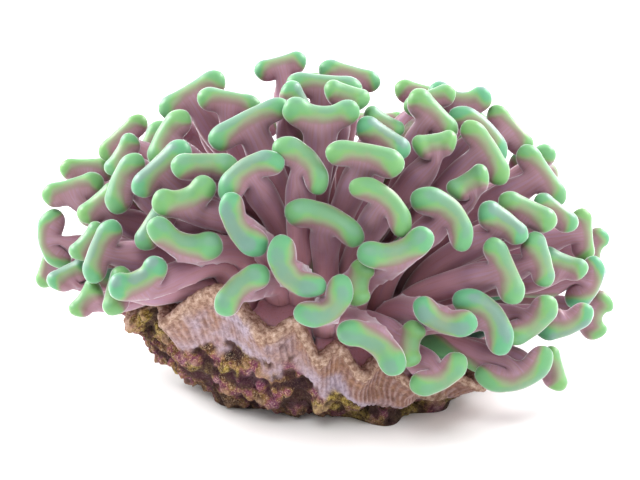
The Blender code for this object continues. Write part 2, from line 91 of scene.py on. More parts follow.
# One polyp in the middle, and the others round it, each running out to the rim
POLYP_AZIMUTHS = (-160, -125, -95, -65, -40, -15, 10, 35, 60, 90, 125, 162)
POLYP_PART = 0.70

# Where the roots stand on the mound, and how the stalks leave it and meet their heads
LOWEST_HEAD = -12.0
LAST_ROOT = 0.93
ROOT_DEPTH = 3.0
ROOT_LEAN = 0.25
ROOT_ARM = 0.40
TIP_ARM = 0.42
# The tip's own elevation for a head's elevation on the crown
TIP_ELEVATIONS = (-10, 0, 20, 40, 60, 90)
TIP_LIFTS = (-30, -8, 20, 46, 68, 90)
VIEW_LIFT = 20.0
# The most that a tip may face the viewer
MOST_FACING = 0.95

# Balls that stand for a tentacle while the crowd is settled. They follow the stalk in two
# straight runs, which meet at this part of its length and end at the neck under the head
KNEE_PART = 0.42
NECK_HEIGHT = -6.0
# Parts of the stalk with the radius there, and places along the head with theirs
STALK_BALLS = tuple((part, np.interp(part, (0, 0.5, 0.85, 1), (2.4, 3.5, 4.2, 4.9)))
                    for part in np.linspace(0.06, 1, 13))
HEAD_BALLS = (-1.0, -0.6, -0.2, 0.2, 0.6, 1.0)
HEAD_BALL_RADIUS = 4.0
# Balls in the two shoulders under the head: part of its half length, height, radius
SHOULDER_BALLS = ((-0.50, -2.2, 3.8), (0.50, -2.2, 3.8))
CLEARANCE = 0.5

# Each tentacle that the front shows: azimuth and elevation of its head on the crown, part of
# the crown's radius, turn of the head from level, its length, and how far it is bent upwards
FRONT_TENTACLES = (
    # left side
    (-105, 61, 1.05, 31, 21, 1), (-80, 70, 1, -10, 18, 1), (-100, 42, 1.04, 44, 17, 1),
    (-72, 51, 1, 62, 17, 3), (-56, 46, 1, 42, 20, 1), (-70, 40, 1, 68, 17, 3),
    (-85, 41, 1, 60, 13, 0), (-98, 31, 1.04, 0, 16, 1), (-92, 28, 1.05, 15, 18, 1),
    (-80, 31, 0.97, 40, 14, 1), (-90, 18, 1.06, -80, 16, -5), (-72, 22, 0.97, 50, 12, 0),
    (-92, 8, 1.04, 75, 13, 1), (-74, 14, 0.98, 28, 12, 1), (-60, 20, 1, 68, 18, 2),
    (-50, 15, 1, 75, 13, 1), (-60, 11, 1, 50, 11, 0), (-42, 22, 1, 28, 16, -1),
    (-37, 30, 1, -18, 20, -2), (-48, 33, 0.95, 55, 15, 1), (-38, 38, 1, 20, 17, -1),
    # top
    (-40, 66, 1, 28, 24, 1), (-26, 50, 1, 33, 19, 4), (-150, 72, 1.06, 15, 15, 1),
    (0, 86, 1, -6, 21, 1), (-12, 79, 0.97, -60, 13, 1), (160, 73, 1.01, -14, 18, 1),
    (5, 69, 1, -2, 20, -1), (22, 74, 1, -20, 12, 1), (38, 72, 0.97, -30, 12, 0),
    (20, 62, 1, -35, 16, 1), (14, 55, 1, -12, 21, 2), (-6, 56, 1, -45, 18, 4),
    (-126, 54, 1, 25, 16, 1), (178, 59, 1.02, 5, 18, 1), (134, 59, 1, -15, 16, 1),
    # front
    (2, 42, 0.90, -22, 22, 3), (18, 43, 1, -43, 20, 4), (-22, 35, 1, -58, 18, -3),
    (-18, 22, 1, 42, 17, 2), (-8, 22, 1, -50, 18, -5), (4, 16, 1, 38, 16, -5),
    (11, 9, 1, -35, 20, 2), (19, 6, 0.90, 80, 12, 0), (10, 23, 0.84, 80, 12, 0),
    (24, 10, 1, -20, 17, -3), (24, -3, 1, 30, 16, -3), (38, 12, 1, -50, 20, 5),
    (49, 5, 1, 40, 17, -3), (61, 1, 1, 20, 16, -3), (45, -9, 1, 18, 21, -6),
    (58, -6, 1, -75, 12, 1), (45, 22, 1, -68, 19, 1), (57, 22, 1, -72, 15, 1),
    (14, 30, 1, 16, 20, -2), (-40, 49, 1, 0, 18, 1),
    # right side
    (68, 15, 0.97, -20, 14, 0), (84, 6, 1, 60, 15, -4), (84, -2, 1.02, 75, 12, 1),
    (88, 15, 1.01, -85, 15, 1), (100, 8, 1.04, 85, 14, 1), (59, 32, 1, -27, 17, 1),
    (78, 29, 1, -38, 14, 1), (85, 36, 1, -55, 20, 1), (85, 54, 1, -45, 20, 4),
    (104, 45, 1.03, -50, 17, 1), (62, 50, 1, -58, 20, 2), (68, 65, 1, -45, 17, 1),
    (95, 67, 1, 20, 15, 1), (102, 60, 1, -8, 17, -1), (35, 38, 1, -45, 20, 5),
    (49, 32, 0.98, -35, 15, 1), (53, 45, 0.95, 30, 12, 0), (50, 58, 0.97, 10, 12, 0),
)

# Tentacles behind, spread evenly over the crown's far side
BACK_AZIMUTH = 106.0
BACK_LOWEST = 6.0
BACK_HIGHEST = 50.0
BACK_PITCH = 17.5
BACK_SCATTER = 3.0
BACK_REACHES = (0.96, 1.02)
BACK_TURNS = (-75, 75)
BACK_LENGTHS = (15, 19)
BACK_BENDS = (-3, 4)
BACK_SEED = 7
# Every second row starts this much further along
ROW_STARTS = (0.25, 0.75)

# Settling: steps, room round each root, how much the front heads give way, and how strongly
# and how long heads are drawn back home
SPREAD_STEPS = 200
ROOT_ROOM = 2.8
SETTLE_STEPS = 360
FRONT_GIVE = 0.25
HOME_PULL = 0.02
HOME_STEPS = 180
# How far inside their own cushion roots and knees stay, and how far knees stay behind heads
ROOT_MARGIN = 3.3
MIDDLE_MARGIN = 3.7
KNEE_MARGIN = 2.0
KNEE_BEHIND = 9.0
# Where along a stalk it is lifted off the mound, and by how much
MOUND_CHECKS = (0.30, 0.42, 0.55)
MOUND_ROOM = 3.6
# Balls that stand for the rim and wall: part of the oval, part of the height, radius
RIM_BALL_STEP = 5
RIM_BALLS = ((0.96, 1.0, 4.0), (0.95, 0.75, 4.5), (0.90, 0.5, 6.0))

# The boxy cage that each tentacle is smoothed from: rings of the stalk as parts of the way
# to the neck, with half their length and width, and the neck's distance below the head
CAGE_LEVELS = 6
STALK_PARTS = (0.0, 0.28, 0.55, 0.80, 1.0)
STALK_RADII = ((4.2, 4.0), (3.9, 3.8), (3.6, 3.6), (3.8, 3.6), (4.8, 3.8))
NECK_DROP = 10.5
# How much wider a ring of six corners is than the round stalk smoothed from it, and where
# its four outer corners stand along and across it
RING_SPARE = 1.2
CORNER_ALONG = 0.866
CORNER_ACROSS = 0.5
# Head's cage, from its middle to its end: part of its half length and a step past it, height
# along the tip below and above, half width below and above
HEAD_COLUMNS = ((0.00, 0.0, -4.2, 1.7, 4.1, 3.2), (0.37, 0.0, -5.2, 2.1, 3.7, 3.4),
                (1.00, -3.8, -5.1, 3.6, 4.3, 4.1), (1.00, 0.2, -3.2, 2.1, 2.8, 2.6))
# Heads shorter than this take less of the step
FULL_LENGTH = 19
# How unlike in size the lobes are, and how much further they droop than the plain heads do
LOBE_SCATTER = 0.12
LOBE_DROOP = 1.5
LOBE_SEED = 5
# The shortest run that a stalk takes to turn towards its head, and how far its end leans
# from the head's own facing towards its root's way
TURNING_RUN = 15.0
TURNING_LEAN = 0.5
# Steps in which the rings are turned from one to the next, and a short part of a stalk
TURNING_STEPS = 30
SHORT_PART = 0.01
SMOOTHING = 2

# Green caps: heights along the tip from none to full green, how much the lobes' ends count
# as higher up than the middle and where along the head they start and are full, and the
# heights that keep green off the stalk
GREEN_HEIGHTS = (-2.2, 3.8)
LOBE_LIFT = 3.6
LOBE_PARTS = (0.50, 0.95)
STALK_TOPS = (-9.0, -5.0)
# The greyer crest: how squarely the skin faces out along the tip, and its height
CREST_FACINGS = (0.70, 1.0)
CREST_HEIGHTS = (-2.0, 1.0)

# The flesh under the tentacles reaches out to this part of the rim's oval and dips into its
# pockets; its finish is that of this part of a stalk
FLESH_PART = 0.93
FLESH_DIP = 2.2
FLESH_RISE = 0.25
FLESH_TONE = 0.5
FLESH_GRAIN = 3.0
CUSHION_SIDES = 144
CUSHION_VOXEL = 1.2
CUSHION_SMOOTHING = {"iterations": 16, "factor": 0.5}

# Skeleton's finish: columns round it, and rows between its rings. Places up it are counted
# in rings: 0 at the foot and 5 on the rim
STONE_COLUMNS = 960
ROWS_BETWEEN_RINGS = (18, 18, 14, 20, 8, 10)
STONE_MASKS = ("rib_shading", "crust", "pit", "lip", "band", "knob")
# Heights over the cut foot where the relief starts and is full
FOOT_HEIGHTS = (0.0, 1.2)
# Where the bowl inside, which has no relief, and the rim's lip begin and are full
BOWL_RINGS = (6.0, 6.6)
LIP_RINGS = (3.55, 4.1)
LIP_RELIEF = 0.9
LIP_WAVES = ((3.0, 0.25),)
# The wall's ribs: their pitch along a part of the rim's oval, how sharp they are, their
# middle height and relief, how they wander and fade
RIB_PITCH = 1.35
RIB_PART = 0.95
RIB_POWER = 1.3
RIB_MIDDLE = 0.45
RIB_RELIEF = 0.26
RIB_WAVES = ((6.0, 0.35),)
RIB_FADES = ((4.0, 0.6),)
RIB_STRENGTH = 0.75
# How far the lip hides them
LIP_COVER = 0.8
# The grain: its relief, and its share on the wall and how much more on lip and crust
GRAIN_RELIEF = 0.30
GRAIN_SHARE = 0.35
GRAIN_MORE = 0.9
GRAIN_WAVES = ((1.3, 1.0), (0.6, 0.6))
# How high the crust reaches up the skeleton at azimuths round it, how far its edge wanders
# and how wide it is
CRUST_TOPS = ((-90, 4.3), (-62, 4.3), (-50, 3.0), (-38, 2.6), (-22, 2.9), (-8, 2.7), (6, 2.1),
              (16, 1.3), (40, 0.9), (62, 1.4), (90, 2.3), (150, 2.7), (210, 3.0))
CRUST_WAVES = ((7.0, 0.9), (2.5, 0.4))
CRUST_EDGE = (-0.25, 0.25)
CRUST_RELIEF = 3.0
CRUST_MIDDLE = 0.2
# The crust's knobs: their pitch, how wide and high each is, and the waves that carry them
KNOB_PITCH = 3.5
KNOB_EDGE = (0.0, 0.75)
KNOB_HEIGHT = 0.55
KNOB_WAVES = ((5.5, 0.75), (2.6, 0.375))
# Knobs whose chance, drawn from their place stretched so far, is over this are pits instead
CHANCE_STRETCH = 7.3
PIT_CHANCE = 0.66
PIT_EDGE = (0.28, 0.46)
PIT_DEPTH = 2.6
# The pale band above the crust's edge: where it starts, where it fades, and the azimuths
# where it begins and is full
BAND_LOW = (-0.4, 0.1)
BAND_HIGH = (0.3, 1.3)
BAND_STARTS = (-54, -42)

# Ramps of colour, each stop with its place, red, green and blue: up a stalk, from the cap's
# edge inwards, and over the grain of rim, rock and moss
# The stalk's ramp is lightest at the root: painted light that lifts the shade in the gaps between
# the stalks.
STALK_RAMP = ((0.0, 202, 153, 158), (0.35, 191, 144, 154), (0.62, 168, 128, 142),
              (0.85, 152, 116, 127))
CAP_RAMP = ((0.05, 138, 106, 110), (0.26, 132, 120, 106), (0.46, 126, 142, 108),
            (0.68, 112, 154, 92))
RIM_RAMP = ((0.30, 150, 112, 94), (0.44, 168, 135, 116), (0.58, 186, 158, 140),
            (0.72, 210, 188, 174))
ROCK_RAMP = ((0.32, 40, 26, 26), (0.41, 92, 60, 42), (0.47, 148, 112, 66), (0.53, 142, 80, 92),
             (0.61, 116, 50, 88), (0.72, 192, 152, 158))
MOSS_RAMP = ((0.34, 62, 46, 28), (0.50, 138, 116, 44), (0.66, 182, 160, 78))

# Camera and lights, in metres
AIM = Vector((0, 0, 0.0426))
CAMERA_DISTANCE = 0.8
CAMERA_LENS = 160.7
CAMERA_LIFT = 20
# Each light's name, place, width and power
LIGHTS = (("key", (-0.15, -0.65, 0.95), 0.7, 7.5), ("side", (0.8, -0.3, 0.5), 0.5, 4.0),
          ("left rim", (-0.8, 0.5, 0.5), 0.4, 16.0), ("right rim", (0.7, 0.7, 0.6), 0.4, 16.0))
WORLD_LIGHT = 0.80
FLOOR_SIZE = 6


def smooth_loop(stations, azimuth):
    """Value at an azimuth, eased between the two stations on either side of it."""
    for index, (start, low) in enumerate(stations):
        end, high = stations[(index + 1) % len(stations)]
        gap = (end - start) % 360
        along = (azimuth - start) % 360
        if along < gap:
            part = 0.5 - 0.5 * cos(pi * along / gap)
            return low + (high - low) * part
    return stations[0][1]


def pocket_wave(azimuth):
    """+1 in the middle of a deep pocket and -1 on a high peak; narrow pockets are shallower."""
    for index, start in enumerate(POCKETS):
        gap = (POCKETS[(index + 1) % len(POCKETS)] - start) % 360
        along = (azimuth - start) % 360
        if along < gap:
            share = min(1.0, NARROW_SHARE + (1 - NARROW_SHARE) * gap / WIDE_POCKET)
            return (1 - 2 * sin(pi * along / gap) ** PEAK_POWER) * share
    return 0.0


def oval(azimuth, half_x=RIM_X, front=RIM_FRONT, back=RIM_BACK):
    """Point of an oval whose front and back halves have their own depths."""
    angle = radians(azimuth)
    depth = front if cos(angle) > 0 else back
    return Vector((half_x * sin(angle), -depth * cos(angle), 0))


def crown_point(azimuth, elevation, reach=1.0):
    """Point on the crown that the heads lie on."""
    turn = radians(azimuth)
    lift = radians(elevation)
    across = reach * cos(lift)
    return Vector((CROWN_MIDDLE + CROWN_X * across * sin(turn),
                   -CROWN_Y * across * cos(turn),
                   CROWN_BASE + CROWN_Z * reach * sin(lift)))


def bowl_point(part, azimuth, lift=0.0):
    """Point over the skeleton's bowl under the flesh; part is 0 at the middle, 1 at the rim."""
    edge = smooth_loop(RIM_HEIGHTS, azimuth) - BOWL_DROP
    floor = min(BOWL_FLOOR, edge)
    rise = (edge - floor) * max(0.0, part - FLOOR_PART) / (BOWL_PART - FLOOR_PART)
    point = oval(azimuth) * part
    point.z = floor + rise + lift
    return point


def mound_height(part, azimuth):
    """Height of the flesh between the tentacles; part is 0 at the middle, 1 at its edge."""
    edge = smooth_loop(RIM_HEIGHTS, azimuth) - MOUND_EDGE_DROP
    return edge + (MOUND_TOP - edge) * (1 - part ** 2)


def mound_point(part, azimuth):
    point = oval(azimuth) * (MOUND_PART * part)
    point.z = mound_height(part, azimuth)
    return point


def mound_place(point):
    """Part of the way to the mound's edge, and azimuth, of the place below a point."""
    depth = RIM_FRONT if point.y < 0 else RIM_BACK
    across = point.x / RIM_X
    forward = -point.y / depth
    return hypot(across, forward) / MOUND_PART, degrees(atan2(across, forward))


def borders(seeds, number):
    """Halfway point and level direction from one polyp's seed to each of the others."""
    own = seeds[number]
    for index, other in enumerate(seeds):
        if index != number:
            yield (own + other) / 2, Vector((other.x - own.x, other.y - own.y, 0)).normalized()


def root_part(elevation):
    """Roots share out the mound as evenly as the heads share out the crown."""
    lowest = sin(radians(LOWEST_HEAD))
    share = (1 - sin(radians(elevation))) / (1 - lowest)
    return LAST_ROOT * sqrt(min(1.0, share))


class Tentacle:
    """A stalk along a curve from its root, and the hammer head across its end."""

    def __init__(self, azimuth, elevation, reach, turn, length, bend, view):
        self.length = length
        self.bend = bend
        self.give = 1.0 if view else FRONT_GIVE
        self.head = crown_point(azimuth, elevation, reach)
        self.target = self.head.copy()
        self.root = mound_point(root_part(elevation), azimuth)
        self.set_axes(azimuth, elevation, radians(turn), radians(view))
        reach_out = (self.head - self.root).length
        self.tip_arm = self.tip * (TIP_ARM * reach_out)
        outward = Vector((self.root.x, self.root.y, 0)) / RIM_X
        self.rise = (Vector((0, 0, 1)) + outward * ROOT_LEAN) * (ROOT_ARM * reach_out)
        self.knee = self.root + self.rise

    def set_axes(self, azimuth, elevation, turn, view):
        """Set the head's long axis, its upper side and the direction that its tip faces.

        All three are set as seen from `view`, the azimuth that shows this head best.
        """
        side = Vector((cos(view), sin(view), 0))
        tilt = radians(VIEW_LIFT)
        facing = Vector((sin(view) * cos(tilt), -cos(view) * cos(tilt), sin(tilt)))
        upward = facing.cross(side)
        self.along = side * cos(turn) + upward * sin(turn)
        self.upper = facing.cross(self.along)
        lift = radians(np.interp(elevation, TIP_ELEVATIONS, TIP_LIFTS))
        spread = radians(azimuth)
        flat = Vector((sin(spread) / CROWN_X, -cos(spread) / CROWN_Y, 0)).normalized()
        radial = flat * cos(lift) + Vector((0, 0, sin(lift)))
        shown = max(-MOST_FACING, min(MOST_FACING, radial.dot(facing)))
        sign = 1 if radial.dot(self.upper) >= 0 else -1
        self.tip = facing * shown + self.upper * (sign * sqrt(1 - shown ** 2))

    def balls(self):
        """Middles of the balls that stand for this tentacle, in the order of their radii."""
        half = self.length / 2
        inner = half - HEAD_BALL_RADIUS
        across_head = [self.head + self.along * (part * inner)
                       - self.upper * (self.bend * (part * inner / half) ** 2)
                       for part in HEAD_BALLS]
        middle = self.stalk_point(KNEE_PART)
        neck = self.head + self.tip * NECK_HEIGHT
        stalk = []
        for part, radius in STALK_BALLS:
            low = 2 * part
            stalk.append(self.root.lerp(middle, low) if low < 1 else middle.lerp(neck, low - 1))
        shoulders = [self.head + self.along * (part * half) + self.tip * height
                     - self.upper * (self.bend * part ** 2)
                     for part, height, radius in SHOULDER_BALLS]
        return stalk + across_head + shoulders

    def keep_root(self, seeds):
        """Keep the root well inside the polyp's own cushion, and the knee over it."""
        margin = ROOT_MARGIN if self.polyp else MIDDLE_MARGIN
        for middle, away in borders(seeds, self.polyp):
            border = middle.xy.dot(away.xy) - CUSHION_GAP / 2
            self.root -= away * max(0.0, self.root.xy.dot(away.xy) + margin - border)
            if self.polyp:
                self.knee -= away * max(0.0, self.knee.xy.dot(away.xy) + KNEE_MARGIN - border)
        self.keep_on_mound()
        self.knee -= self.tip * max(0.0, KNEE_BEHIND - (self.head - self.knee).dot(self.tip))

    def clear_mound(self):
        """Lift the stalk where it would sink back into the mound."""
        for part in MOUND_CHECKS:
            point = self.stalk_point(part)
            over, azimuth = mound_place(point)
            if over < 1:
                self.knee.z += max(0.0, mound_height(over, azimuth) + MOUND_ROOM - point.z)

    def keep_on_mound(self):
        part, azimuth = mound_place(self.root)
        self.root = mound_point(min(part, LAST_ROOT), azimuth)
        self.root.z -= ROOT_DEPTH

    def stalk_point(self, part):
        """Point of the stalk's middle line: 0 is the root and 1 the head's middle."""
        rest = 1 - part
        return (self.root * rest ** 3 + self.knee * (3 * rest ** 2 * part)
                + (self.head - self.tip_arm) * (3 * rest * part ** 2) + self.head * part ** 3)


def back_tentacles():
    """Heads at an even pitch over the far side of the crown, row by row, with a little scatter."""
    scatter = np.random.default_rng(BACK_SEED)
    found = []
    elevation = BACK_LOWEST
    row = 0
    while elevation < BACK_HIGHEST:
        across = cos(radians(elevation))
        length = pi * (CROWN_X + CROWN_Y) / 2 * across * (360 - 2 * BACK_AZIMUTH) / 180
        count = max(1, round(length / BACK_PITCH))
        for index in range(count):
            part = (index + ROW_STARTS[row % 2]) / count
            azimuth = BACK_AZIMUTH + (360 - 2 * BACK_AZIMUTH) * part
            azimuth += scatter.uniform(-BACK_SCATTER, BACK_SCATTER)
            height = elevation + scatter.uniform(-BACK_SCATTER, BACK_SCATTER)
            reach = scatter.uniform(*BACK_REACHES)
            turn = scatter.uniform(*BACK_TURNS)
            size = scatter.uniform(*BACK_LENGTHS)
            bend = scatter.uniform(*BACK_BENDS)
            found.append(Tentacle(azimuth, height, reach, turn, size, bend, azimuth))
        elevation += degrees(BACK_PITCH / CROWN_Z)
        row += 1
    return found


def lip_balls():
    """Balls along the rim and down the wall that the tentacles keep clear of."""
    balls = []
    for azimuth in range(0, 360, RIM_BALL_STEP):
        flat = oval(azimuth)
        wave = pocket_wave(azimuth)
        for part, height, radius in RIM_BALLS:
            point = flat * part + flat.normalized() * (wave * POCKET_REACH)
            point.z = smooth_loop(RIM_HEIGHTS, azimuth) * height - wave * POCKET_DEPTH - radius
            balls.append((*point, radius))
    return np.array(balls)


def push_apart(points, radii, owners):
    """How far each ball moves to leave its neighbours in other tentacles, half the way each."""
    squares = (points ** 2).sum(axis=1)
    gaps = np.sqrt(np.maximum(squares[:, None] + squares - 2 * points @ points.T, 1e-9))
    overlap = radii[:, None] + radii + CLEARANCE - gaps
    overlap[owners[:, None] == owners] = 0
    ball, other = np.nonzero(overlap > 0)
    share = (overlap[ball, other] / gaps[ball, other] / 2)[:, None]
    push = np.zeros_like(points)
    np.add.at(push, ball, (points[ball] - points[other]) * share)
    return push


def spread_roots(tentacles, seeds):
    """Share out the mound among the roots, then give each root to the nearest polyp."""
    radii = np.full(len(tentacles), ROOT_ROOM)
    owners = np.arange(len(tentacles))
    for _ in range(SPREAD_STEPS):
        points = np.array([(tentacle.root.x, tentacle.root.y, 0) for tentacle in tentacles])
        for tentacle, move in zip(tentacles, push_apart(points, radii, owners)):
            tentacle.root += Vector(move)
            tentacle.keep_on_mound()
    for tentacle in tentacles:
        flat = [(tentacle.root - seed).xy.length for seed in seeds]
        tentacle.polyp = flat.index(min(flat))
        tentacle.knee = tentacle.root + tentacle.rise


def settle(tentacles, seeds):
    """Move heads, knees and roots a little at a time until the tentacles have their own room."""
    rim = lip_balls()
    stalk_parts = np.array([part for part, radius in STALK_BALLS])
    radii_each = ([radius for part, radius in STALK_BALLS] + [HEAD_BALL_RADIUS] * len(HEAD_BALLS)
                  + [radius for part, height, radius in SHOULDER_BALLS])
    count = len(radii_each)
    total = len(tentacles) * count
    radii = np.concatenate([np.tile(radii_each, len(tentacles)), rim[:, 3]])
    owners = np.concatenate([np.repeat(np.arange(len(tentacles)), count), np.full(len(rim), -1)])
    near_root = (1 - stalk_parts) ** 3
    near_knee = 3 * (1 - stalk_parts) ** 2 * stalk_parts
    near_head = 1 - near_root - near_knee
    for step in range(SETTLE_STEPS):
        points = [point for tentacle in tentacles for point in tentacle.balls()]
        points = np.concatenate([np.array(points), rim[:, :3]])
        push = push_apart(points, radii, owners)
        push = push[:total].reshape(len(tentacles), count, 3)
        for tentacle, moves in zip(tentacles, push):
            stalk = moves[:len(stalk_parts)]
            head = moves[len(stalk_parts):].sum(axis=0) / 2 + near_head @ stalk / 2
            tentacle.head += Vector(head) * tentacle.give
            if step < HOME_STEPS:
                tentacle.head += (tentacle.target - tentacle.head) * HOME_PULL
            tentacle.knee += Vector(near_knee @ stalk)
            tentacle.root += Vector(near_root @ stalk)
            tentacle.keep_root(seeds)
            tentacle.clear_mound()


def as_mesh(name, shape):
    """Mesh of a bmesh, which is used up."""
    data = bpy.data.meshes.new(name)
    shape.to_mesh(data)
    shape.free()
    return data


def put(name, data):
    """New object in the scene."""
    made = bpy.data.objects.new(name, data)
    bpy.context.scene.collection.objects.link(made)
    return made


def tentacle_cage():
    """Box-modelled tentacle, one unit a step: a stalk of six-cornered rings and two lobes."""
    cage = bmesh.new()
    bmesh.ops.create_cube(cage, size=1)
    bmesh.ops.scale(cage, verts=cage.verts, vec=(2, 2, 1))
    bmesh.ops.translate(cage, verts=cage.verts, vec=(0, 0, 0.5))
    bmesh.ops.bisect_plane(cage, geom=cage.verts[:] + cage.edges[:] + cage.faces[:],
                           plane_co=(0, 0, 0), plane_no=(1, 0, 0))
    for level in range(1, CAGE_LEVELS):
        top = [face for face in cage.faces
               if all(abs(corner.co.z - level) < 0.1 for corner in face.verts)]
        pull(cage, top, Vector((0, 0, 1)))
    for side in (-1, 1):
        for step in (1, 2):
            end = [face for face in cage.faces
                   if all(corner.co.x * side > step - 0.1 and corner.co.z > CAGE_LEVELS - 1.1
                          for corner in face.verts)]
            pull(cage, end, Vector((side, 0, 0)))
    bmesh.ops.recalc_face_normals(cage, faces=cage.faces[:])
    return as_mesh("tentacle cage", cage)


def pull(cage, faces, step):
    """Extrude faces by one step."""
    made = bmesh.ops.extrude_face_region(cage, geom=faces)["geom"]
    corners = [item for item in made if isinstance(item, bmesh.types.BMVert)]
    bmesh.ops.translate(cage, verts=corners, vec=step)
    bmesh.ops.delete(cage, geom=[face for face in faces if face.is_valid], context="FACES_ONLY")


def stalk_corner(tentacle, level, column, side):
    """Corner of the cage on a ring of the stalk, the last of which is the neck."""
    middle, along, across = tentacle.rings[level]
    half_length, half_width = STALK_RADII[level]
    reach = half_width * RING_SPARE * side * (CORNER_ACROSS if column else 1.0)
    return middle + along * (half_length * RING_SPARE * CORNER_ALONG * column) + across * reach


def head_corner(tentacle, level, column, side):
    """Corner of the cage on the head, whose sections turn with its bend."""
    across = tentacle.tip.cross(tentacle.along)
    share, past, low, high, low_width, high_width = HEAD_COLUMNS[abs(column)]
    spread = tentacle.lobes[column > 0]
    past *= min(1, tentacle.length / FULL_LENGTH)
    place = copysign(share * tentacle.length / 2 + past, column)
    top = level == CAGE_LEVELS
    offset = tentacle.tip * ((high if top else low) * spread)
    offset += across * (side * (high_width if top else low_width) * spread)
    slope = 8 * tentacle.bend * place / tentacle.length ** 2
    offset.rotate(Matrix.Rotation(-atan(slope), 3, tentacle.along.cross(tentacle.upper)))
    bent = tentacle.bend * (2 * place / tentacle.length) ** 2
    return tentacle.head + tentacle.along * place - tentacle.upper * bent + offset


def stalk_rings(tentacle):
    """Middle, long and cross direction of each ring, turned steadily down from the head."""
    along, across = tentacle.along.copy(), tentacle.tip.cross(tentacle.along)
    before, part = tentacle.tip, 1.0
    rings = []
    for stop in reversed(STALK_PARTS):
        step = (part - stop * tentacle.neck) / TURNING_STEPS
        for _ in range(TURNING_STEPS):
            part -= step
            ahead = (tentacle.stalk_point(part + SHORT_PART)
                     - tentacle.stalk_point(part - SHORT_PART))
            turned = before.rotation_difference(ahead)
            along.rotate(turned)
            across.rotate(turned)
            before = ahead
        rings.insert(0, (tentacle.stalk_point(part), along.copy(), across.copy()))
    return rings


def find_neck(tentacle):
    """Part of the stalk's length where it is NECK_DROP away from the head."""
    part = 1.0
    while part > 0.5 and (tentacle.head - tentacle.stalk_point(part)).length < NECK_DROP:
        part -= SHORT_PART
    return part


def ease(low, high, value):
    """Smooth step, from 0 where the value is low to 1 where it is high."""
    part = min(1.0, max(0.0, (value - low) / (high - low)))
    return part * part * (3 - 2 * part)


ease_all = np.vectorize(ease)


def add_mask(data, name, values):
    """Write a value for each corner, which the finish reads by name."""
    mask = data.attributes.get(name) or data.attributes.new(name, "FLOAT", "POINT")
    mask.data.foreach_set("value", np.asarray(values, np.float32))


def rows_of(data, kind):
    """Places ("co") or facings ("normal") of a mesh's corners, as rows of an array."""
    values = np.empty(len(data.vertices) * 3)
    data.vertices.foreach_get(kind, values)
    return values.reshape(-1, 3)


def modified(name, data, *settings):
    """Mesh with modifiers applied, each given as its type and values."""
    worker = put(name, data)
    for kind, values in settings:
        modifier = worker.modifiers.new(kind, kind)
        for key, value in values.items():
            setattr(modifier, key, value)
    depsgraph = bpy.context.evaluated_depsgraph_get()
    done = bpy.data.meshes.new_from_object(worker.evaluated_get(depsgraph))
    bpy.data.objects.remove(worker)
    return done


def tentacle_mesh(tentacle, cage):
    """Smooth tentacle with its masks for the cap, its crest, and the way from root to head."""
    data = cage.copy()
    corners = rows_of(cage, "co")
    placed = []
    for x, y, z in corners:
        column, side, level = round(x), (1 if y > 0 else -1), round(z)
        rule = stalk_corner if level < CAGE_LEVELS - 1 else head_corner
        placed.append(rule(tentacle, level, column, side))
    data.vertices.foreach_set("co", np.array(placed).ravel())
    add_mask(data, "rise", corners[:, 2] / CAGE_LEVELS)
    add_mask(data, "grain_x", corners[:, 0])
    add_mask(data, "grain_y", corners[:, 1])
    levels = {"levels": SMOOTHING, "render_levels": SMOOTHING}
    smooth = modified("tentacle", data, ("SUBSURF", levels))
    bpy.data.meshes.remove(data)
    offset = rows_of(smooth, "co") - np.array(tentacle.head)
    along = offset @ np.array(tentacle.along) * 2 / tentacle.length
    offset += np.outer(tentacle.bend * along ** 2, np.array(tentacle.upper))
    height = offset @ np.array(tentacle.tip)
    lobe = ease_all(*LOBE_PARTS, np.abs(along))
    green = ease_all(*GREEN_HEIGHTS, height + LOBE_LIFT * lobe)
    add_mask(smooth, "green", green * ease_all(*STALK_TOPS, height))
    facing = rows_of(smooth, "normal") @ np.array(tentacle.tip)
    crest = ease_all(*CREST_FACINGS, facing)
    add_mask(smooth, "crest", crest * ease_all(*CREST_HEIGHTS, height))
    add_mask(smooth, "tone", np.full(len(height), tentacle.tone))
    return smooth


